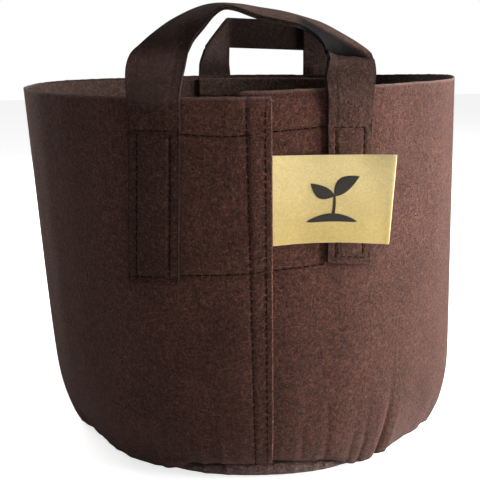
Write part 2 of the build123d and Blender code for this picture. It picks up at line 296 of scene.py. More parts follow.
class Builder:
    """Collects points and faces of one object, with a material number for each face."""

    def __init__(self):
        self.points, self.faces, self.marks, self.extra = [], [], [], []
        self.count = 0

    def add_points(self, points, extra=None):
        points = np.asarray(points, float).reshape(-1, 3)
        start = self.count
        self.points.append(points)
        extra = np.zeros_like(points) if extra is None else np.asarray(extra, float)
        self.extra.append(extra.reshape(-1, 3))
        self.count += len(points)
        return np.arange(start, self.count)

    def add_faces(self, faces, mark=0):
        faces = np.asarray(faces)
        self.faces.append(faces)
        self.marks.append(np.full(len(faces), mark))

    def sheet(self, grid, thickness, closed=False, extra=None, edge_mark=1, bulge=0.8, cap=False, inside=0,
              dent=None):
        """A sheet around a middle surface, with rounded edges; a capped one has no hole at its first row.
        A dent presses its outer face in. Extra holds the place on the flat label, or the felt's painted
        shade (x) and painted light (y)."""
        rows, cols = grid.shape[:2]
        normal = grid_normals(grid, closed)
        half = thickness / 2
        outer = grid + normal * half
        if dent is not None:
            outer = outer - normal * np.minimum(dent, thickness * 0.6)[..., None]
        front = self.add_points(outer, extra).reshape(rows, cols)
        back = self.add_points(grid - normal * half, extra).reshape(rows, cols)
        self.add_faces(grid_faces(front, closed, False))
        self.add_faces(grid_faces(back, closed, True), inside)
        loops = self.borders(rows, cols, closed)
        if cap:
            loops = loops[1:]
            middle = grid[0].mean(axis=0)
            up = normal[0].mean(axis=0)
            self.disc(front[0], middle + up * half)
            self.disc(back[0], middle - up * half)
        for border in loops:
            self.edge(grid, normal, front, back, border, half, bulge, edge_mark, extra)

    @staticmethod
    def borders(rows, cols, closed):
        """Border loops as lists of (row, column, inner row, inner column)."""
        if closed:
            first = [(0, c, 1, c) for c in range(cols)]
            last = [(rows - 1, c, rows - 2, c) for c in range(cols - 1, -1, -1)]
            return [first, last]
        loop = [(0, c, 1, min(max(c, 1), cols - 2)) for c in range(cols)]
        loop += [(r, cols - 1, min(max(r, 1), rows - 2), cols - 2) for r in range(1, rows)]
        loop += [(rows - 1, c, rows - 2, min(max(c, 1), cols - 2)) for c in range(cols - 2, -1, -1)]
        loop += [(r, 0, min(max(r, 1), rows - 2), 1) for r in range(rows - 2, 0, -1)]
        return [loop]

    def edge(self, grid, normal, front, back, border, half, bulge, mark, extra):
        r, c, ri, ci = (np.array(part) for part in zip(*border))
        at = grid[r, c]
        up = normal[r, c]
        out = at - grid[ri, ci]
        out = out - (out * up).sum(-1, keepdims=True) * up
        out = out / np.maximum(np.linalg.norm(out, axis=-1, keepdims=True), 1e-12)
        rings = [front[r, c]]
        for degrees in EDGE_STEPS:
            angle = math.radians(degrees)
            ring = at + up * half * math.sin(angle) + out * half * bulge * math.cos(angle)
            rings.append(self.add_points(ring, None if extra is None else extra[r, c]))
        rings.append(back[r, c])
        self.add_faces(grid_faces(np.array(rings), True, True), mark)

    def tube(self, path, radius, sides=6):
        """A closed thread along a path, thinner at its ends."""
        path = np.asarray(path, float)
        along = np.gradient(path, axis=0)
        along /= np.linalg.norm(along, axis=-1, keepdims=True)
        helper = np.array([0.31, 0.17, 0.93])
        side = np.cross(along, helper)
        side /= np.linalg.norm(side, axis=-1, keepdims=True)
        other = np.cross(along, side)
        count = len(path)
        thin = np.ones(count)
        thin[0] = thin[-1] = 0.55
        angles = np.arange(sides) * 2 * math.pi / sides
        turned = angles[None, :, None]
        ring = np.cos(turned) * side[:, None] + np.sin(turned) * other[:, None]
        index = self.add_points(path[:, None] + ring * (radius * thin)[:, None, None]).reshape(count, sides)
        self.add_faces(grid_faces(index, True, False))
        ends = self.add_points([path[0] - along[0] * radius * 0.3, path[-1] + along[-1] * radius * 0.3])
        for step in range(sides):
            after = (step + 1) % sides
            self.add_faces([[index[0, after], index[0, step], ends[0]]])
            self.add_faces([[index[-1, step], index[-1, after], ends[1]]])

    def disc(self, ring, centre):
        """Fan that closes a ring."""
        middle = self.add_points([centre])[0]
        self.add_faces(np.stack([ring, np.roll(ring, -1), np.full(len(ring), middle)], -1))

    def build(self, name, materials):
        mesh = bpy.data.meshes.new(name)
        points = np.concatenate(self.points)
        faces = [face for block in self.faces for face in block.tolist()]
        mesh.from_pydata(points.tolist(), [], faces)
        tidy = bmesh.new()
        tidy.from_mesh(mesh)
        bmesh.ops.recalc_face_normals(tidy, faces=tidy.faces)
        tidy.to_mesh(mesh)
        tidy.free()
        marks = np.concatenate(self.marks).astype(np.int32)
        for material in materials:
            mesh.materials.append(material)
        mesh.polygons.foreach_set("material_index", np.minimum(marks, len(materials) - 1))
        mesh.polygons.foreach_set("use_smooth", np.ones(len(faces), bool))
        extra = mesh.attributes.new("extra", "FLOAT_VECTOR", "POINT")
        extra.data.foreach_set("vector", np.concatenate(self.extra).astype(np.float32).ravel())
        mesh.update()
        mesh.validate()
        return add_object(name, mesh)


def spaced(low, high, step, centres=(), fine=0.7 * MM, reach=4 * MM):
    """Values from low to high, closer together around the centres."""
    values = list(np.linspace(low, high, max(2, int(round((high - low) / step)) + 1)))
    for centre in centres:
        values = [value for value in values if abs(value - centre) > reach or value in (low, high)]
        near = np.linspace(centre - reach, centre + reach, int(2 * reach / fine) + 1)
        values += [value for value in near if low < value < high]
    return np.array(sorted(set(np.round(values, 7))))


# ------ materials
class Nodes:
    """Short way to write a node tree."""

    def __init__(self, name):
        self.material = bpy.data.materials.new(name)
        self.material.use_nodes = True
        self.tree = self.material.node_tree
        self.shader = self.tree.nodes["Principled BSDF"]
        self.place = self.tree.nodes.new("ShaderNodeTexCoord").outputs["Object"]

    def fill(self, node, inputs):
        for key, value in inputs.items():
            self.set(node.inputs[key.replace("_", " ")], value)

    def add(self, kind, **inputs):
        node = self.tree.nodes.new(kind)
        self.fill(node, inputs)
        return node

    def finish(self, **inputs):
        """Sets the shader's inputs, and gives back the material."""
        self.fill(self.shader, inputs)
        return self.material

    def extra(self):
        """The vector that a builder keeps for each point."""
        node = self.add("ShaderNodeAttribute")
        node.attribute_name = "extra"
        return node.outputs["Vector"]

    def parts(self, vector):
        return self.add("ShaderNodeSeparateXYZ", Vector=vector).outputs

    def set(self, socket, value):
        if isinstance(value, bpy.types.NodeSocket):
            self.tree.links.new(value, socket)
        else:
            socket.default_value = value

    def noise(self, scale, detail=3.0, roughness=0.6, distortion=0.0, place=None, ridged=False):
        node = self.add("ShaderNodeTexNoise", Scale=scale, Detail=detail, Roughness=roughness,
                        Distortion=distortion, Vector=place or self.place)
        if ridged:
            node.noise_type = "RIDGED_MULTIFRACTAL"
        return node.outputs["Fac"]

    def stretch(self, factors, turn=(0, 0, 0)):
        node = self.add("ShaderNodeMapping", Vector=self.place, Scale=factors, Rotation=turn)
        return node.outputs["Vector"]

    def ramp(self, value, stops):
        node = self.add("ShaderNodeValToRGB", Fac=value)
        elements = node.color_ramp.elements
        while len(elements) < len(stops):
            elements.new(0.5)
        for element, (position, level) in zip(elements, stops):
            element.position = position
            element.color = (level, level, level, 1) if isinstance(level, (int, float)) else (*level, 1)
        return node.outputs["Color"]

    def math(self, operation, first, second=0.0):
        node = self.tree.nodes.new("ShaderNodeMath")
        node.operation = operation
        self.set(node.inputs[0], first)
        self.set(node.inputs[1], second)
        return node.outputs["Value"]

    def mix(self, share, first, second, blend="MIX"):
        node = self.tree.nodes.new("ShaderNodeMix")
        node.data_type = "RGBA"
        node.blend_type = blend
        self.set(node.inputs["Factor"], share)
        self.set(node.inputs[6], (*first, 1) if isinstance(first, tuple) else first)
        self.set(node.inputs[7], (*second, 1) if isinstance(second, tuple) else second)
        return node.outputs[2]

    def times(self, tone, factor):
        return self.mix(1.0, tone, factor, "MULTIPLY")

    def bump(self, height, distance, strength=1.0, before=None):
        node = self.add("ShaderNodeBump", Height=height, Distance=distance, Strength=strength)
        if before is not None:
            self.set(node.inputs["Normal"], before)
        return node.outputs["Normal"]


def scaled(color, factor):
    return tuple(channel * factor for channel in color)


DEEP_SHADE = (0.0045, 0.0045, 0.0045)


def felt_material(name, color, pale, contrast=1.0, sheen=0.34):
    """Needle-punched felt: cloudy mottling, matted fibres, fine pits and a fuzzy sheen."""
    n = Nodes(name)
    clouds = n.noise(28, 4, 0.6)
    blotches = n.noise(420, 6, 0.75, 0.8)
    fibres_a = n.noise(860, 4, 0.75, 1.5, n.stretch((1, 1, 0.45), (0.5, 0.2, 0.1)))
    fibres_b = n.noise(980, 4, 0.75, 1.5, n.stretch((0.45, 0.45, 1), (0.2, 0.7, 0.4)))
    fibres = n.math("ADD", n.math("MULTIPLY", fibres_a, 0.5), n.math("MULTIPLY", fibres_b, 0.5))
    darker, paler = scaled(color, 1 - 0.16 * contrast), scaled(color, 1 + 0.16 * contrast)
    tone = n.ramp(clouds, [(0.3, darker), (0.7, paler)])
    blotch = n.ramp(blotches, [(0.38, 1 - 0.26 * contrast), (0.5, 0.98), (0.64, 1 + 0.32 * contrast)])
    tone = n.times(tone, blotch)
    strand = n.ramp(fibres, [(0.41, 1 - 0.65 * contrast), (0.5, 0.93), (0.59, 1 + 1.4 * contrast)])
    tone = n.times(tone, strand)
    lint = n.ramp(n.noise(1400, 2, 0.5, 2.0), [(0.69, 0.0), (0.76, 1.0)])
    tone = n.mix(n.math("MULTIPLY", lint, 0.35), tone, pale)
    # Painted shade: the felt is darker towards the bottom.
    height = n.parts(n.place)["Z"]
    tone = n.times(tone, n.ramp(n.math("MULTIPLY", height, 5.0), [(0.15, 0.80), (0.85, 1.0)]))
    # Painted shade (extra x) mixes the felt towards DEEP_SHADE and takes its sheen away; painted light
    # (extra y) mixes it towards the pale colour.
    extra = n.parts(n.extra())
    shade = extra["X"]
    tone = n.mix(extra["Y"], tone, pale)
    tone = n.mix(shade, tone, DEEP_SHADE)
    fuzz = n.math("MULTIPLY", n.math("SUBTRACT", 1.0, shade), sheen)
    coarse = n.bump(blotches, 1.6 * MM)
    fine = n.bump(fibres, 0.8 * MM, before=coarse)
    return n.finish(Base_Color=tone, Roughness=0.95, Specular_IOR_Level=0.12, Normal=fine,
                    Sheen_Weight=fuzz, Sheen_Roughness=0.32, Sheen_Tint=(*scaled(pale, 2.4), 1))


def thread_material():
    """Dark dull sewing thread with a fine twist."""
    n = Nodes("thread")
    place = n.stretch((1, 1, 1), (0.6, 0.6, 0.6))
    twist = n.add("ShaderNodeTexWave", Scale=700, Distortion=1.5, Vector=place)
    tone = n.mix(twist.outputs["Fac"], (0.006, 0.003, 0.0025), (0.022, 0.011, 0.008))
    bump = n.bump(twist.outputs["Fac"], 0.1 * MM, 0.8)
    return n.finish(Base_Color=tone, Roughness=0.9, Specular_IOR_Level=0.05, Normal=bump)


def label_material(name, color):
    """Coated canvas: a fine plain weave under a matte tan coat, a little grubby."""
    n = Nodes(name)
    place = n.extra()
    warp = n.add("ShaderNodeTexWave", Scale=560, Distortion=0.4, Vector=place)
    weft = n.add("ShaderNodeTexWave", Scale=560, Distortion=0.4, Vector=place)
    weft.bands_direction = "Y"
    weave = n.math("MAXIMUM", warp.outputs["Fac"], weft.outputs["Fac"])
    clouds = n.noise(45, 4, 0.6)
    grain = n.noise(900, 3, 0.6)
    tone = n.ramp(clouds, [(0.3, scaled(color, 0.9)), (0.72, scaled(color, 1.06))])
    height = n.parts(place)["Y"]
    # Darker and yellower towards the bottom.
    darker_towards_bottom = n.ramp(n.math("MULTIPLY", height, 19.0), [(0.05, (0.84, 0.78, 0.62)), (0.75, 1.0)])
    tone = n.times(tone, darker_towards_bottom)
    tone = n.times(tone, n.ramp(grain, [(0.3, 0.88), (0.7, 1.08)]))
    tone = n.times(tone, n.ramp(weave, [(0.0, 0.9), (0.8, 1.0)]))
    bump = n.bump(weave, 0.12 * MM, 0.5)
    return n.finish(Base_Color=tone, Roughness=0.72, Specular_IOR_Level=0.3, Normal=bump)


def ink_material():
    """Matte ink, slightly broken by the cloth's weave."""
    n = Nodes("ink")
    wear_and_painted_edge = n.noise(1500, 3, 0.6)
    tone = n.ramp(wear_and_painted_edge, [(0.3, (0.016, 0.014, 0.011)), (0.75, (0.05, 0.042, 0.03))])
    return n.finish(Base_Color=tone, Roughness=0.8)


FELT_COLOR = (0.069, 0.0285, 0.0200)
FELT_PALE = (0.25, 0.185, 0.170)
felt = felt_material("felt", FELT_COLOR, FELT_PALE)
felt_cut = felt_material("felt_cut", scaled(FELT_COLOR, 1.4), FELT_PALE, 1.2)
felt_inside = felt_material("felt_inside", (0.052, 0.031, 0.024), FELT_PALE)
base_felt = felt_material("base_felt", (0.115, 0.070, 0.060), FELT_PALE, 1.1)
thread = thread_material()
label_cloth = label_material("label_cloth", (0.88, 0.71, 0.32))
label_cut = label_material("label_cut", (0.9, 0.8, 0.5))
ink = ink_material()


# ------ rows of stitches
STITCH = 3.6 * MM
STITCH_GAP = 0.9 * MM
THREAD_RADIUS = 0.32 * MM
STITCH_RISE = 1.3 * THREAD_RADIUS
# Shape of a stitch: share of its length, and height above the felt in parts of its rise
STITCH_SHAPE = ((0.0, -1.0), (0.14, 0.25), (0.5, 0.55), (0.86, 0.25), (1.0, -1.0))


def lengths_along(path):
    """Length of a path from its start to each of its points."""
    return np.concatenate([[0], np.cumsum(np.linalg.norm(np.diff(path, axis=0), axis=1))])


def sampled(wanted, length, path):
    """Points of a path at the wanted lengths from its start."""
    return np.stack([np.interp(wanted, length, path[:, axis]) for axis in range(3)], -1)


def sew(builder, path, normals, start_gap=0.0):
    """Separate stitches along a densely sampled path; each dips into the felt at both ends."""
    length = lengths_along(path)
    place = start_gap
    while place + STITCH < length[-1]:
        points = []
        for share, lift in STITCH_SHAPE:
            there = place + STITCH * share
            up = sampled(there, length, normals)
            points.append(sampled(there, length, path) + up / np.linalg.norm(up) * lift * STITCH_RISE)
        builder.tube(points, THREAD_RADIUS)
        place += STITCH + STITCH_GAP


def plain(piece, slot, *nodes):
    """Hides the CAD nodes that a piece stands for, and keeps the piece with the bag."""
    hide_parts(*nodes)
    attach(piece, "root")


# ------ wall and base
UPPER_ROW = WALL_HEIGHT - TOP_ROW_DROP
LOWER_ROWS = {"front": (136.6 * MM, 144.5 * MM), "rear": (141.0 * MM, 141.0 * MM)}
LEG_ROWS = {"front": (136.6 * MM, 146.6 * MM), "rear": (141.0 * MM, 141.0 * MM)}
ROW_SAG = 2.2 * MM
# Distance of the legs' middle lines from the middle of the handle, and the strap's width
FRONT_HALF, FRONT_WIDTH = 58.0 * MM, 29.0 * MM
REAR_HALF, REAR_WIDTH = 46.5 * MM, 26.0 * MM
HANDLES = {"front": (0.0, FRONT_HALF, FRONT_WIDTH), "rear": (REAR_TURN, REAR_HALF, REAR_WIDTH)}
ROW_DENT = 0.8 * MM            # depth of the dents along the handles' cross rows
ROW_DENT_WIDTH = 1.7 * MM
LAP_DENTS = (0.5 * MM, 0.22 * MM)  # depth of the grooves along the lap's two rows of stitches
LAP_DENT_WIDTH = 1.3 * MM
LABEL_SWELL = 0.75 * MM        # height of the bulge over the label's sewn margin


def lower_row(share, side):
    """Height of the lower cross row, which climbs a little to the right on the front."""
    left, right = LOWER_ROWS[side]
    return left + (right - left) * share


def upper_row(share):
    """Height of the upper cross row, which sags between the legs."""
    return UPPER_ROW - ROW_SAG * np.cos(np.clip(share, -1, 1) * math.pi / 2) ** 2


def pinch(theta, height):
    """Dent that the handles' cross rows pull into the felt."""
    dent = 0 * theta
    for side, (turn, half, width) in HANDLES.items():
        x = wrap(theta - turn) * RIM_RADIUS
        reach = half + width / 2
        inside = smoothstep(reach + 2 * MM, reach - 2 * MM, np.abs(x))
        low = lower_row(np.clip((x / reach + 1) / 2, 0, 1), side)
        rows = bump_at(height, upper_row(x / reach), ROW_DENT_WIDTH) + bump_at(height, low, ROW_DENT_WIDTH)
        dent = dent + ROW_DENT * rows * inside
    return dent


def lap_lift(sheet_angle):
    """The over layer climbs onto the under layer at the end of the sheet."""
    return (FELT + 0.1 * MM) * smoothstep(math.radians(346), math.radians(357.4), sheet_angle)


def lap_row_x(index, height):
    """Sideways place of a row of stitches: the first is a little askew, the second follows the free edge."""
    if index == 0:
        return -2.7 * MM + 3.3 * MM * (1 - height / WALL_HEIGHT)
    return LAP_OUTER_ROW + 0 * height


def lap_pinch(sheet_angle, height):
    """Grooves along the lap's rows of stitches."""
    dent = 0 * sheet_angle
    for index, depth in enumerate(LAP_DENTS):
        row = 2 * math.pi + lap_row_x(index, height) / RIM_RADIUS
        dent = dent + depth * bump_at(sheet_angle, row, LAP_DENT_WIDTH / RIM_RADIUS)
    return dent


def label_swell(sheet_angle, height):
    """The over layer bulges over the label's sewn margin."""
    near = smoothstep(math.radians(357.6), math.radians(361.0), sheet_angle)
    tall = smoothstep(label_low.z - 5 * MM, label_low.z + MM, height)
    tall = tall * smoothstep(label_high.z + 5 * MM, label_high.z - MM, height)
    return LABEL_SWELL * near * tall


def front_rise(theta):
    """The seam's height above its usual place, at the front."""
    away = wrap(theta - math.radians(FRONT_MIDDLE)) / FRONT_RISE_WIDTH
    return FRONT_RISE * np.maximum(1 - away ** 2, 0) ** 1.3


def seam_shift(theta):
    """How far the base seam strays from its circle, outward."""
    point = wall_point(theta, SEAM_HEIGHT, 0)
    return np.hypot(point[..., 0], point[..., 1]) - SEAM_RADIUS - 0.8 * MM * overhang(theta)


def overhang(theta):
    """1 where the wall rolls down over the seam and hides it, 0 at the front."""
    low, high = (math.radians(angle) for angle in FRONT_GAP)
    return smoothstep(low, high, np.abs(wrap(theta - math.radians(FRONT_MIDDLE))))


def wall_tone(sheet, heights, flange_rows):
    """The rim's cut edge gets a painted highlight at the front, and painted shade at the shaded rear."""
    front = smoothstep(math.radians(110), math.radians(80), np.abs(wrap(sheet)))
    edge = smoothstep(WALL_HEIGHT - 1.0 * MM, WALL_HEIGHT - 0.1 * MM, heights)
    wear_and_painted_edge = [0] * flange_rows + list(edge)
    painted_shade = np.outer(wear_and_painted_edge, 0.6 * (1 - front))
    pale = np.outer(wear_and_painted_edge, 0.35 * front)
    return np.stack([painted_shade, pale, 0 * pale], -1)


# The flange that is sewn to the base: outward place, step up and share of the seam's stray, row by row
FLANGE = ((-12.0, 0, 0.0), (-9.0, 0, 0.1), (-6.0, 0, 0.3), (-3.6, 0, 0.7), (-2.2, 0.2, 0.9),
          (-1.2, 0.9, 1.0), (-0.2, 2.0, 1.0))


def make_wall():
    """One sheet, from its flange at the base seam up to the rim, rolled round with a lap."""
    start = LAP_START / RIM_RADIUS
    end = 2 * math.pi + LAP_END / RIM_RADIUS
    lap_rows = [2 * math.pi + x / RIM_RADIUS for x in (-1 * MM, LAP_OUTER_ROW)]
    sheet = spaced(start, end, math.radians(0.62), lap_rows, math.radians(0.24), math.radians(1.6))
    heights = spaced(SEAM_HEIGHT + 4 * MM, WALL_HEIGHT, 3.2 * MM, (UPPER_ROW, 140 * MM), 0.9 * MM, 5 * MM)
    heights = np.insert(heights, -1, (WALL_HEIGHT - 1.3 * MM, WALL_HEIGHT - 0.6 * MM))
    half = FELT / 2
    under_lift = UNDER_LIFT * smoothstep(math.radians(14), math.radians(6), sheet)
    roll = overhang(sheet)
    rows = []
    flange_height = SEAM_HEIGHT + CLEAR + half
    shift = seam_shift(sheet)
    rise = front_rise(sheet)
    for reach, step, share in FLANGE:
        radius = SEAM_RADIUS + reach * MM + shift * share + under_lift * 0.6 * (share > 0.8)
        drop, outward = ROLL.get(reach, (0, 0))
        low = flange_height + step * MM - roll * drop * MM
        rows.append(ring_points(sheet, radius + roll * outward * MM, low + under_lift + rise))
    offset = -half + lap_lift(sheet)
    for height in heights:
        above = max(height - SEAM_HEIGHT - 4 * MM, 0)
        lift = under_lift * math.exp(-(height - flange_height) / (8 * MM))
        lift = lift + rise * math.exp(-above / (14 * MM))
        sink = roll * ROLL_SINK * math.exp(-(above / ROLL_HEIGHT) ** 1.3)
        wavy = 0.15 * MM * edge_ripple(sheet, 0) * smoothstep(WALL_HEIGHT - 12 * MM, WALL_HEIGHT, height)
        bulge = offset + label_swell(sheet, height) - pinch(sheet, height) - lap_pinch(sheet, height)
        bulge = bulge - ROLL_TUCK * roll * math.exp(-above / (10 * MM))
        points = wall_point(sheet, height + wavy, bulge, sheet)
        points[..., 2] += lift - sink
        rows.append(points)
    builder = Builder()
    builder.sheet(np.array(rows), FELT, extra=wall_tone(sheet, heights, len(FLANGE)), inside=2)
    plain(builder.build("wall", [felt, felt_cut, felt_inside]), "felt", "wall_panel")


# Section of the base's curled edge: radius, height and share of the seam's stray
BASE_CURL = ((125, 1.0, 0.0), (128, 1.25, 0.1), (130.4, 1.9, 0.3), (132.3, 3.0, 0.55), (133.5, 4.4, 0.8),
             (133.9, 5.7, 0.95), (133.6, 6.6, 1.0), (132.6, 6.95, 0.9), (131, 7.0, 0.7), (127, 7.0, 0.3),
             (123, 7.0, 0.0))


def make_base():
    """Floor of felt, curled up to the seam with its edge turned in."""
    theta = np.linspace(0, 2 * math.pi, 481)[:-1]
    shift = seam_shift(theta) - BASE_TUCK * overhang(theta)
    rise = front_rise(theta)
    sag = 0.35 * MM * (1 + medium_ripple(theta, 0)) * 0.5
    half = FELT / 2
    floor = [(radius, half / MM, 0.0) for radius in (4, 12, 24, 38, 52, 66, 80, 94, 106, 115, 121)]
    rows = []
    for radius, height, share in floor + list(BASE_CURL):
        lifted = height * MM + sag * share * (height < 6) + rise * (height - 1) / 6
        rows.append(ring_points(theta, radius * MM + shift * share, lifted))
    builder = Builder()
    builder.sheet(np.array(rows), FELT, closed=True, cap=True)
    plain(builder.build("base", [base_felt, felt_cut]), "felt_base", "base_panel")


make_wall()
make_base()


# ------ reinforcing patches inside
def make_patch(side):
    """A felt patch whose top is folded inward into a hem."""
    name = side + "_patch"
    turn, half, width = HANDLES[side]
    low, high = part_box(name)
    reach = half + width / 2 - MM
    x = spaced(-reach, reach, 4 * MM)
    middle = -FELT - CLEAR - FELT / 2
    gap = FELT / 2 + 0.1 * MM
    top = high.z - FELT
    lower = sum(LOWER_ROWS[side]) / 2
    path = [(z, 0.0) for z in spaced(low.z, top - 1.2 * MM, 4 * MM, (UPPER_ROW, lower), 1.2 * MM, 4 * MM)]
    path += [(top + gap * math.sin(a), gap * (1 - math.cos(a))) for a in np.linspace(0, math.pi, 7)]
    path += [(z, 2 * gap) for z in np.linspace(top - 1.5 * MM, top - HEM, 6)]
    wave = 0.15 * MM * medium_ripple(x * 9, 0)
    rows = []
    for z, inward in path:
        slack = wave * smoothstep(top, low.z, z)
        rows.append(front_point(x, z, middle - inward - np.abs(slack), turn))
    builder = Builder()
    builder.sheet(np.array(rows), FELT)
    plain(builder.build(side + "_lining_patch", [felt_inside, felt_cut]), "felt", name)


for handle in HANDLES:
    make_patch(handle)


# ------ strap handles
STRAP_GIVE = 0.15              # share of a stitch row's dent that goes through both plies
PLY = 1.45 * MM
PLY_OFFSET = 0.76 * MM
STRAP_OFFSET = CLEAR + STRAP / 2


def spline(knots, samples):
    """Smooth curve through the knots."""
    knots = np.asarray(knots, float)
    slopes = np.gradient(knots, axis=0)
    t = np.linspace(0, len(knots) - 1, samples)
    i = np.minimum(t.astype(int), len(knots) - 2)
    f = (t - i)[:, None]
    from_start = (2 * f ** 3 - 3 * f ** 2 + 1) * knots[i] + (f ** 3 - 2 * f ** 2 + f) * slopes[i]
    to_end = (3 * f ** 2 - 2 * f ** 3) * knots[i + 1] + (f ** 3 - f ** 2) * slopes[i + 1]
    return from_start + to_end


def respaced(curves, step):
    """Resamples parallel curves so that their middle line has even steps."""
    middle = sum(curves) / len(curves)
    length = lengths_along(middle)
    wanted = np.linspace(0, length[-1], int(length[-1] / step) + 1)
    return [sampled(wanted, length, curve) for curve in curves]


def laid_on_wall(grid, turn):
    """Moves the sewn ends of a strap onto the wall; above the rim the strap stands free."""
    x, z = grid[..., 0], grid[..., 2]
    on_wall = turn_points(front_point(x, np.minimum(z, WALL_HEIGHT), STRAP_OFFSET, turn), -turn)
    on_wall[..., 2] += np.maximum(z - WALL_HEIGHT, 0)
    outward = grid[..., 1] < on_wall[..., 1]
    rim = WALL_HEIGHT
    leave_out = smoothstep(rim - 14 * MM, rim + 9 * MM, z)
    leave_in = smoothstep(rim + 1 * MM, rim + 12 * MM, z)
    share = np.where(outward, leave_out, leave_in)[..., None]
    return on_wall * (1 - share) + grid * share


def sewn_strap(side, grid, painted_shade, pale, felts):
    """Both plies of a strap in one mesh, with stitches in a second mesh."""
    name = side + "_handle"
    turn, width = HANDLES[side][0], HANDLES[side][2]
    grid = laid_on_wall(grid, turn)
    rows, cols = grid.shape[:2]
    across = np.linspace(0, width, cols)
    furrow = sum(bump_at(across, row, 1.4 * MM) for row in (EDGE_ROW, width - EDGE_ROW))[None, :]
    height = grid[..., 2]
    legs = np.sign(grid[..., 0])
    cross = np.where(legs < 0, cross_height(side, -1), cross_height(side, 1))
    sewn = smoothstep(UPPER_ROW + 3 * MM, UPPER_ROW - 1 * MM, height)
    sewn = sewn * smoothstep(cross - 3 * MM, cross, height)
    rows_dent = bump_at(height, UPPER_ROW, 1.5 * MM) + bump_at(height, cross, 1.5 * MM)
    edge_curl = ((np.abs(across - width / 2) / (width / 2)) ** 6)[None, :]
    dent = 0.75 * MM * np.maximum(furrow * (0.25 + 0.75 * sewn), rows_dent) + 0.3 * MM * edge_curl
    normal = grid_normals(grid, False)
    grid = grid - normal * np.minimum(dent, 0.9 * MM)[..., None] * STRAP_GIVE
    normal = grid_normals(grid, False)
    world = turn_points(grid, turn)
    world_normal = turn_points(normal, turn)
    # The strap's painted shade and painted light go with its points into the extra vector.
    tone = np.stack([painted_shade, pale, 0 * painted_shade], -1)
    builder = Builder()
    for sign in (1, -1):
        ply = world + world_normal * PLY_OFFSET * sign
        builder.sheet(ply, PLY, extra=tone, bulge=1.0, dent=dent if sign > 0 else None)
    strap = builder.build(name + "_strap", felts)
    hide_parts(name + "_legs", name + "_loop")
    stitches = Builder()
    top = PLY_OFFSET + PLY / 2 - 0.6 * MM
    for leg in (-1, 1):
        for row in (EDGE_ROW, width - EDGE_ROW):
            column = int(np.argmin(np.abs(across - row)))
            z = grid[:, column, 2]
            box = (np.sign(grid[:, column, 0]) == leg) & (z < UPPER_ROW) & (z > cross_height(side, leg))
            path, up = world[box, column], world_normal[box, column]
            sew(stitches, path + up * top, up)
        columns = slice(2, cols - 2)
        centre = grid[:, cols // 2]
        leg_rows = np.where((np.sign(centre[:, 0]) == leg) & (centre[:, 2] < WALL_HEIGHT))[0]
        for target in (UPPER_ROW, cross_height(side, leg)):
            nearest = leg_rows[int(np.argmin(np.abs(centre[leg_rows, 2] - target)))]
            path, up = world[nearest, columns], world_normal[nearest, columns]
            sew(stitches, path + up * top, up)
    thread_piece = stitches.build(name + "_stitches", [thread])
    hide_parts(name + "_thread")
    for piece in (strap, thread_piece):
        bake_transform(piece)


def cross_height(side, leg):
    """Height of the lower cross row on a handle's left (-1) or right (1) leg."""
    return LEG_ROWS[side][0 if leg < 0 else 1]


strap_felt = felt_material("strap_felt", (0.053, 0.0240, 0.0165), FELT_PALE, 1.0, 0.18)
# The straps' cut edges are painted darker than their faces: painted shade that keeps them from catching the
# light.
strap_cut = felt_material("strap_cut", (0.028, 0.0150, 0.0110), FELT_PALE, 1.0, 0.18)
# The rear strap's felt is a darker, greyer copy of the strap felt: painted shade.
shaded_rear_strap_felt = felt_material("shaded_rear_strap_felt", (0.040, 0.0235, 0.0185), FELT_PALE, 1.0, 0.18)

# Front strap, seen from the front, from the left end over the top to the right end:
# outer edge x and z, inner edge x and z
FRONT_LEFT_LEG = ((-74.2, 132, -45, 132), (-73.6, 150, -44.4, 150), (-72.6, 170, -43.6, 170),
                  (-71.5, 190, -42.8, 190), (-70.5, 210, -42.1, 210), (-69.8, 228, -41.6, 228),
                  (-69.9, 241, -41.2, 241))
FRONT_LOOP = ((-70.4, 251, -40, 250), (-69.8, 259.5, -37.9, 258), (-67.2, 266.2, -36.4, 264.5),
              (-61.5, 271.2, -35.2, 268), (-54, 277.2, -32.2, 274.2), (-43.5, 284.2, -26.5, 281),
              (-30, 290.4, -20.6, 287.9), (-19, 292.8, -14.5, 291.5), (-6, 292.2, -7, 290.5),
              (5, 290.2, 3.5, 286.6), (18, 287.9, 15, 283.8), (29, 284.9, 28.4, 280.6),
              (40, 281.2, 36.4, 275.9), (50.5, 275.6, 41.2, 271.2), (60, 269.9, 43.8, 266.2),
              (67.6, 263.6, 44.2, 261), (69.9, 255, 42.9, 254))
FRONT_RIGHT_LEG = ((69.2, 247, 43.4, 247), (68.4, 238, 44.4, 238), (67.8, 220, 44.6, 220),
                   (67.6, 200, 44.8, 200), (67.6, 180, 45, 180), (67.8, 160, 45, 160),
                   (68, 142.8, 45, 142.8))
EYE = Vector((0, -0.650, 0.2715))      # the camera's place, from which the strap is seen so
STRAP_PLANE = -143 * MM        # x and z above are measured on this plane
STRAP_MIDDLE = -146 * MM       # depth of the strap's middle line at its left end
STRAP_DRIFT = 5 * MM           # it lies this much further back after the arch's left half


def behind_view(x, z, y):
    """Point at depth y that looks, from the eye, as if it were at x and z on the strap's plane."""
    scale = (y - EYE.y) / (STRAP_PLANE - EYE.y)
    return (x * scale, y, EYE.z + (z - EYE.z) * scale)


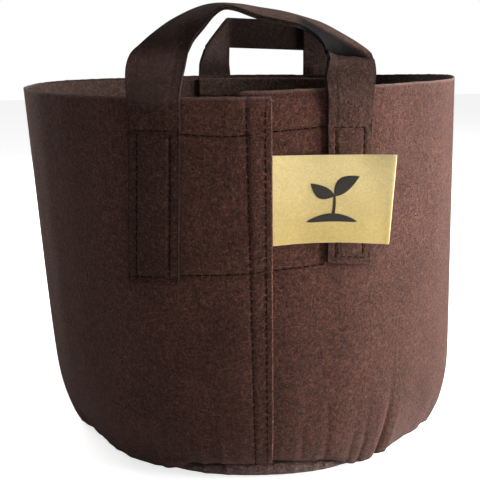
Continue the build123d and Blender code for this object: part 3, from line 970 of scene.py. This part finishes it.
def front_strap_grid():
    """Middle surface of the front strap: rows along it from the left end, columns across it."""
    outer, inner = [], []
    stations = FRONT_LEFT_LEG + FRONT_LOOP + FRONT_RIGHT_LEG
    for index, row in enumerate(stations):
        xo, zo, xi, zi = (value * MM for value in row)
        share = index / (len(stations) - 1)
        seen = math.hypot(xo - xi, zo - zi)
        depth = math.sqrt(max(FRONT_WIDTH ** 2 - seen ** 2, (6 * MM) ** 2))
        middle = STRAP_MIDDLE + STRAP_DRIFT * smoothstep(0.25, 0.5, share)
        outer.append(behind_view(xo, zo, middle + depth / 2))
        inner.append(behind_view(xi, zi, middle - depth / 2))
    rails = respaced([spline(outer, 900), spline(inner, 900)], 1.4 * MM)
    u = spaced(0, FRONT_WIDTH, 1.5 * MM, (EDGE_ROW, FRONT_WIDTH - EDGE_ROW), 0.8 * MM, 2 * MM) / FRONT_WIDTH
    return rails[0][:, None] * (1 - u)[None, :, None] + rails[1][:, None] * u[None, :, None]


def shoulder_crease(grid):
    """The right shoulder buckles: below a ridge the strap leans back, and comes forward again sharply."""
    start, end = np.array([30.5, 282.6]) * MM, np.array([70.4, 262.0]) * MM
    along = (end - start) / np.linalg.norm(end - start)
    down = np.array([along[1], -along[0]])
    offset = grid[..., (0, 2)] - start
    place = offset @ along / np.linalg.norm(end - start)
    below = offset @ down
    window = smoothstep(-0.1, 0.08, place)
    tall = 0.8 * MM + 7.4 * MM * smoothstep(1.08, 0.45, place)
    lean = np.clip(below / tall, 0, 1) * smoothstep(1.45, 1.0, below / tall)
    ridge = -1.5 * MM * bump_at(below, 0, 2.5 * MM) * smoothstep(1.1, 0.8, place)
    shifted = grid.copy()
    shifted[..., 1] += (ridge + 1.25 * tall * lean) * window
    # The hollow below the ridge gets painted shade; this mask is given back with the shifted grid.
    inside = smoothstep(-0.15, 0.1, below / tall) * smoothstep(1.4, 0.95, below / tall)
    return shifted, inside * smoothstep(-0.14, 0.0, place) * smoothstep(1.02, 0.85, place)


def arch_shade(grid):
    """The lower part of the left half of the arch, where the strap turns away, is darker."""
    x = grid[..., 0]
    u = np.linspace(0, 1, grid.shape[1])[None, :]
    between = smoothstep(-47 * MM, -33 * MM, x) * smoothstep(-10 * MM, -20 * MM, x)
    return 0.4 * between * smoothstep(0.2, 0.7, u)


def shoulder_shade(grid):
    """The right leg is darker towards the crease."""
    x, z = grid[..., 0], grid[..., 2]
    return 0.45 * smoothstep(212 * MM, 258 * MM, z) * smoothstep(268 * MM, 262 * MM, z) * (x > 0)


def shoulder_painted_light(grid):
    """The left leg gets painted light above the rim, and so does the outer part of the arch that follows."""
    x, z = grid[..., 0], grid[..., 2]
    return 0.15 * smoothstep(236 * MM, 248 * MM, z) * smoothstep(-28 * MM, -44 * MM, x)


arch = front_strap_grid()
creased, painted_pocket_shade = shoulder_crease(arch)
# Painted shade on the front strap: in the crease hollow, on the lower left of the arch and on the right leg.
front_painted_shade = np.maximum(np.maximum(0.96 * painted_pocket_shade, arch_shade(arch)), shoulder_shade(arch))
sewn_strap("front", creased, front_painted_shade, shoulder_painted_light(arch), [strap_felt, strap_cut])


rear_loop_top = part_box("rear_handle_loop")[1].z
CORNER_FOLD = 1.62 * MM        # radius of the rear strap's folds over a 45 degree line
DIAGONAL = math.sqrt(2)
CORNER_TURNS = (math.radians(6), math.radians(50))  # how far the left and the right corner turn inward
BAND_LEAN = 0.42               # the rear strap's crossing band leans back by this share of its height
BAND_TILT = 2.8 * MM           # the band stands higher on the right by this, at the leg's middle
BAND_DROP = 0.3 * MM


def rear_strap_grid():
    """Ribbon that goes up, folds back over a 45 degree line at each corner and crosses behind."""
    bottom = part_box("rear_handle_legs")[0].z
    corner = rear_loop_top - 1.5 * MM - REAR_WIDTH
    u = spaced(0, REAR_WIDTH, 0.95 * MM)
    bend = math.pi * CORNER_FOLD
    half_length = REAR_HALF + REAR_WIDTH / 2
    middle = corner + half_length + bend * DIAGONAL
    s = np.concatenate([spaced(bottom, corner - 4 * MM, 3 * MM),
                        spaced(corner - 3.2 * MM, corner + REAR_WIDTH + 8 * MM, 0.85 * MM),
                        spaced(corner + REAR_WIDTH + 10 * MM, middle, 3 * MM)])
    z, across = np.meshgrid(s, u, indexing="ij")
    x = across - half_length
    beyond = ((z - corner) - across) / DIAGONAL + CORNER_FOLD
    turn = np.clip(beyond / CORNER_FOLD, 0, math.pi)
    reach = CORNER_FOLD * np.sin(turn) - np.maximum(beyond - bend, 0)
    depth = CORNER_FOLD * (1 - np.cos(turn))
    moved = np.where(beyond > 0, (beyond - reach) / DIAGONAL, 0)
    grid = np.stack([x + moved, FOLD.y - depth, z - moved], -1)
    keep = grid[:, 0, 0] < 0
    left = grid[keep | (s < corner + REAR_WIDTH)]
    right = left[::-1].copy()
    right[..., 0] *= -1
    return np.concatenate([left, right[1:]])


def rear_twist(grid):
    """Above the rim the corners turn inward about the legs' inner edges, and the band tilts and leans."""
    x, z = grid[..., 0], grid[..., 2]
    side = np.sign(x)
    high = smoothstep(WALL_HEIGHT - 4 * MM, WALL_HEIGHT + 26 * MM, z)
    beyond = np.abs(x) - (REAR_HALF - REAR_WIDTH / 2)
    soft = 6 * MM
    ramp = np.where(beyond > soft, beyond, np.maximum(beyond + soft, 0) ** 2 / (4 * soft))
    left_turn, right_turn = CORNER_TURNS
    angle = np.where(side > 0, right_turn, left_turn) * high
    moved = grid.copy()
    moved[..., 0] = x - side * ramp * (1 - np.cos(angle))
    moved[..., 1] += ramp * np.sin(angle)
    tilt = smoothstep(WALL_HEIGHT + 10 * MM, WALL_HEIGHT + 30 * MM, z)
    height = np.maximum(z - (rear_loop_top - REAR_WIDTH), 0)
    moved[..., 1] += BAND_LEAN * height
    moved[..., 2] += tilt * (x / REAR_HALF * BAND_TILT - BAND_DROP) - 0.1 * height
    return moved


def rear_painted_shade(grid):
    """The crossing part between the corners gets painted shade, and so does the right corner, which is
    turned inward.
    """
    x, z = grid[..., 0], grid[..., 2]
    gap = REAR_HALF - REAR_WIDTH / 2
    crossing = smoothstep(gap + 2 * MM, gap - MM, np.abs(x)) * (z > WALL_HEIGHT)
    turned = smoothstep(gap - MM, gap + 2 * MM, x) * smoothstep(WALL_HEIGHT, WALL_HEIGHT + 12 * MM, z)
    return 0.45 * crossing + 0.35 * turned


ribbon = rear_strap_grid()
# The rear strap gets painted shade but no painted light.
no_painted_light = 0 * ribbon[..., 0]
sewn_strap("rear", rear_twist(ribbon), rear_painted_shade(ribbon), no_painted_light, [shaded_rear_strap_felt, strap_cut])


# ------ stitches of the wall, lap and patches
def make_lap_thread():
    """Two rows of stitches down the lap, outside and inside."""
    builder = Builder()
    heights = np.linspace(14 * MM, WALL_HEIGHT - 4 * MM, 160)
    for index in (0, 1):
        x = lap_row_x(index, heights)
        theta = x / RIM_RADIUS
        over = 2 * math.pi + theta
        lift = lap_lift(over) + label_swell(over, heights) - LAP_DENTS[index] + 0.03 * MM
        sew(builder, *surface_line(theta, heights, lift, over), start_gap=index * 2 * MM)
        inside = surface_line(theta, heights, -FELT + 0 * theta, theta, inward=True)
        sew(builder, *inside, start_gap=index * 3 * MM)
    plain(builder.build("lap_stitches", [thread]), "thread", "lap_seam_thread")


def surface_line(theta, heights, offset, sheet_angle=None, inward=False):
    """Points and outward (or inward) directions of a line on the wall."""
    path = wall_point(theta, heights, offset, sheet_angle)
    beyond = wall_point(theta, heights, offset + MM, sheet_angle)
    return path, (path - beyond) if inward else (beyond - path)


def make_base_thread():
    """A round of stitches through the flange and the base's turned edge."""
    builder = Builder()
    theta = np.linspace(0, 2 * math.pi, 721)
    near_lap = smoothstep(-0.06, -0.04, wrap(theta)) * smoothstep(0.25, 0.1, wrap(theta))
    rise = front_rise(theta)
    radius = (129 - 3.2 * overhang(theta)) * MM
    height = SEAM_HEIGHT + CLEAR + FELT + UNDER_LIFT * near_lap + rise
    up = np.tile([0.0, 0.0, 1.0], (len(theta), 1))
    sew(builder, ring_points(theta, radius, height), up)
    below = SEAM_HEIGHT - FELT + rise
    sew(builder, ring_points(theta, radius, below), -up)
    plain(builder.build("base_stitches", [thread]), "thread", "base_seam_thread")


def make_patch_thread(side):
    """Cross rows between the legs, on the outside and on the patch's inside."""
    turn, half, width = HANDLES[side]
    builder = Builder()
    gap = half - width / 2 - MM
    reach = half + width / 2
    for upper in (True, False):
        spans = ((-gap, 9.5 * MM), (12.5 * MM, gap)) if side == "front" else ((-gap, gap),)
        for low, high in spans:
            x = np.linspace(low, high, 90)
            height = row_height(x, reach, side, upper)
            theta = angle_of(x, height)
            over = np.where(x < 11 * MM, lap_lift(2 * math.pi + theta), 0) if side == "front" else 0
            dented = front_point(x, height, over - 0.55 * MM, turn)
            outside = front_point(x, height, over + MM, turn)
            sew(builder, dented, outside - dented)
        x = np.linspace(-reach, reach, 160)
        height = row_height(x, reach, side, upper)
        inner = front_point(x, height, -2 * FELT - CLEAR, turn)
        further = front_point(x, height, -2 * FELT - CLEAR - MM, turn)
        sew(builder, inner, further - inner)
    plain(builder.build(side + "_patch_stitches", [thread]), "thread", side + "_patch_thread")


def row_height(x, reach, side, upper):
    return upper_row(x / reach) if upper else lower_row((x / reach + 1) / 2, side)


make_lap_thread()
make_base_thread()
for handle in HANDLES:
    make_patch_thread(handle)


# ------ label
LABEL_LOW, LABEL_TALL = 156.6 * MM, 52.2 * MM
LABEL_TOP_LENGTH, LABEL_BOTTOM_LENGTH = 69.0 * MM, 66.2 * MM
LABEL_TURN = 0.19              # how far the label turns outward along its length, in radians
LABEL_MARGIN = 12.0 * MM       # length caught under the lap
LABEL_LIFT = 0.45 * MM
LABEL_SAG = 1.6 * MM           # its lower edge arches up by this
LABEL_CURL = 1.5 * MM          # its free lower corner comes forward and the upper one goes back by this
LABEL_WAVE = 0.4 * MM


def label_point(s, v, lift=0.0):
    """Point on the label, by shares: s along it from the hinge, negative inside the lap, and v up it."""
    s, v = np.broadcast_arrays(np.asarray(s, float), np.asarray(v, float))
    length = LABEL_BOTTOM_LENGTH + (LABEL_TOP_LENGTH - LABEL_BOTTOM_LENGTH) * v
    run = np.where(s > 0, s * length, s * LABEL_MARGIN)
    out = np.clip(s, 0, 1)
    height = LABEL_LOW + LABEL_TALL * v + LABEL_SAG * np.sin(out * math.pi) * (1 - v) ** 2
    base = front_point(LABEL_HINGE.x + 0 * s, height, LABEL_LIFT)
    start = math.asin(LABEL_HINGE.x / RIM_RADIUS)
    corner = LABEL_CURL * (smoothstep(0.75, 1.0, s) * (1 - v) ** 2 - smoothstep(0.7, 1.0, s) * v ** 3)
    bend = length / LABEL_TURN
    angle = start - LABEL_TURN * out
    free_x = base[..., 0] + bend * (math.sin(start) - np.sin(angle))
    wave = LABEL_WAVE * np.sin(s * 7 + 1.2) * smoothstep(0, 0.3, s) * (1 - 0.6 * v)
    free_y = base[..., 1] - bend * (math.cos(start) - np.cos(angle)) + wave + corner
    free = np.stack([free_x, free_y, height], -1)
    free[..., 0] += lift * np.sin(angle)
    free[..., 1] -= lift * np.cos(angle)
    caught = front_point(LABEL_HINGE.x + np.minimum(run, 0), height, LABEL_LIFT + lift)
    caught[..., 2] = height
    return np.where((s > 0)[..., None], free, caught)


def make_label():
    """The cloth label, one sheet from under the lap out past its free edge."""
    s = np.concatenate([np.linspace(-1, 0, 9)[:-1], np.linspace(0, 1, 37)])
    v = np.linspace(0, 1, 25)
    across, up = np.meshgrid(s, v)
    grid = label_point(across, up)
    flat = np.stack([across * LABEL_TOP_LENGTH, up * LABEL_TALL, 0 * up], -1)
    builder = Builder()
    builder.sheet(grid, LABEL_THICKNESS, extra=flat, bulge=1.0)
    label = builder.build("label", [label_cloth, label_cut])
    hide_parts("label_tab", "label_flap")
    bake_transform(label)


def add_leaf(builder, root, tip, width, belly=0.45):
    """An almond-shaped leaf between two points on the flat label."""
    root, tip = np.array(root), np.array(tip)
    along = tip - root
    side = np.array([-along[1], along[0]]) / np.linalg.norm(along)
    t = np.linspace(0, 1, 22)
    shape = np.sin(np.pi * t ** (math.log(0.5) / math.log(belly))) ** 0.9
    bow = 0.10 * np.linalg.norm(along) * np.sin(np.pi * t)
    add_shape(builder, root + t[:, None] * along + side * bow[:, None], width * shape, side)


def add_shape(builder, middle, width, side):
    """A printed shape: a thin sheet around a middle line with a varying width."""
    u = np.linspace(-0.5, 0.5, 7)
    flat = middle[:, None] + side * (np.maximum(width, 0.12 * MM)[:, None] * u)[..., None]
    lift = LABEL_THICKNESS / 2 + 0.1 * MM
    grid = label_point(flat[..., 0] / LABEL_TOP_LENGTH, flat[..., 1] / LABEL_TALL, lift)
    builder.sheet(grid, 0.16 * MM, edge_mark=0)


def make_print():
    """A plain seedling: two leaves on a stem over a mound of soil."""
    builder = Builder()
    t = np.linspace(0, 1, 24)
    up = np.array([0.0, 1.0])
    right = np.array([1.0, 0.0])
    x = 34 * MM
    soil = np.stack([x + (t - 0.5) * 30 * MM, 13 * MM + 2.5 * MM * np.sin(np.pi * t)], -1)
    add_shape(builder, soil, 5 * MM * np.sin(np.pi * t) ** 0.7, up)
    stem = np.stack([x + 1.2 * MM * np.sin(t * 2.2), 14 * MM + t * 15 * MM], -1)
    add_shape(builder, stem, (2.0 - 0.8 * t) * MM, right)
    top = (x + 1.0 * MM, 28.5 * MM)
    add_leaf(builder, top, (x + 15 * MM, 40 * MM), 8.5 * MM)
    add_leaf(builder, top, (x - 13 * MM, 36 * MM), 7.5 * MM)
    piece = builder.build("label_seedling", [ink])
    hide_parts("label_print")
    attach(piece, "label")


make_label()
make_print()


# ------ floor, light and camera
def make_floor():
    mesh = bpy.data.meshes.new("floor")
    mesh.from_pydata([(-4, -4, 0), (4, -4, 0), (4, 4, 0), (-4, 4, 0)], [], [(0, 1, 2, 3)])
    pale = bpy.data.materials.new("floor")
    pale.use_nodes = True
    shader = pale.node_tree.nodes["Principled BSDF"]
    shader.inputs["Base Color"].default_value = (0.9, 0.9, 0.9, 1)
    shader.inputs["Roughness"].default_value = 0.9
    shader.inputs["Emission Color"].default_value = (1, 1, 1, 1)
    path = pale.node_tree.nodes.new("ShaderNodeLightPath")
    glow = pale.node_tree.nodes.new("ShaderNodeMath")
    glow.operation = "MULTIPLY"
    glow.inputs[1].default_value = 0.75
    pale.node_tree.links.new(path.outputs["Is Camera Ray"], glow.inputs[0])
    pale.node_tree.links.new(glow.outputs["Value"], shader.inputs["Emission Strength"])
    mesh.materials.append(pale)
    add_object("floor", mesh)


def area_light(name, place, target, size, power, color=(1, 1, 1)):
    data = bpy.data.lights.new(name, "AREA")
    data.shape = "RECTANGLE"
    data.size, data.size_y = size
    data.energy = power
    data.color = color
    light = add_object(name, data)
    light.location = place
    light.rotation_mode = "QUATERNION"
    light.rotation_quaternion = (Vector(target) - Vector(place)).to_track_quat("-Z", "Y")


def make_world(seen, lit):
    """Pale to the camera, and a weaker even light on the bag."""
    world = bpy.data.worlds.new("studio")
    bpy.context.scene.world = world
    world.use_nodes = True
    tree = world.node_tree
    background = tree.nodes["Background"]
    path = tree.nodes.new("ShaderNodeLightPath")
    level = tree.nodes.new("ShaderNodeMapRange")
    level.inputs["To Min"].default_value = lit
    level.inputs["To Max"].default_value = seen
    tree.links.new(path.outputs["Is Camera Ray"], level.inputs["Value"])
    tree.links.new(level.outputs["Result"], background.inputs["Strength"])
    background.inputs["Color"].default_value = (1, 1, 1, 1)


def make_camera():
    pan, tilt, roll = 0.0146, 0.2190, 0.0147
    forward = Vector((-math.sin(pan) * math.cos(tilt), math.cos(pan) * math.cos(tilt), -math.sin(tilt)))
    right = Vector((math.cos(pan), math.sin(pan), 0))
    up = Vector((-math.sin(pan) * math.sin(tilt), math.cos(pan) * math.sin(tilt), math.cos(tilt)))
    rolled_right = right * math.cos(roll) - up * math.sin(roll)
    rolled_up = right * math.sin(roll) + up * math.cos(roll)
    data = bpy.data.cameras.new("camera")
    data.sensor_width = 36
    data.lens = 66.12
    data.clip_start = 0.01
    camera = add_object("camera", data)
    turn = Matrix((rolled_right, rolled_up, -forward)).transposed().to_4x4()
    camera.matrix_world = Matrix.Translation(EYE) @ turn
    bpy.context.scene.camera = camera


make_floor()
make_world(1.0, 0.16)
area_light("key", (1.35, -0.40, 0.36), (0.05, 0, 0.2), (0.8, 0.8), 43, (1, 0.96, 0.95))
area_light("side", (1.2, 0.25, 0.3), (0.1, 0, 0.14), (0.6, 0.7), 27, (0.9, 0.96, 1))
area_light("back", (-0.9, 1.15, 0.6), (0, 0, 0.2), (0.8, 0.8), 17, (1, 0.96, 0.93))
make_camera()
bpy.context.scene.view_settings.view_transform = "Standard"
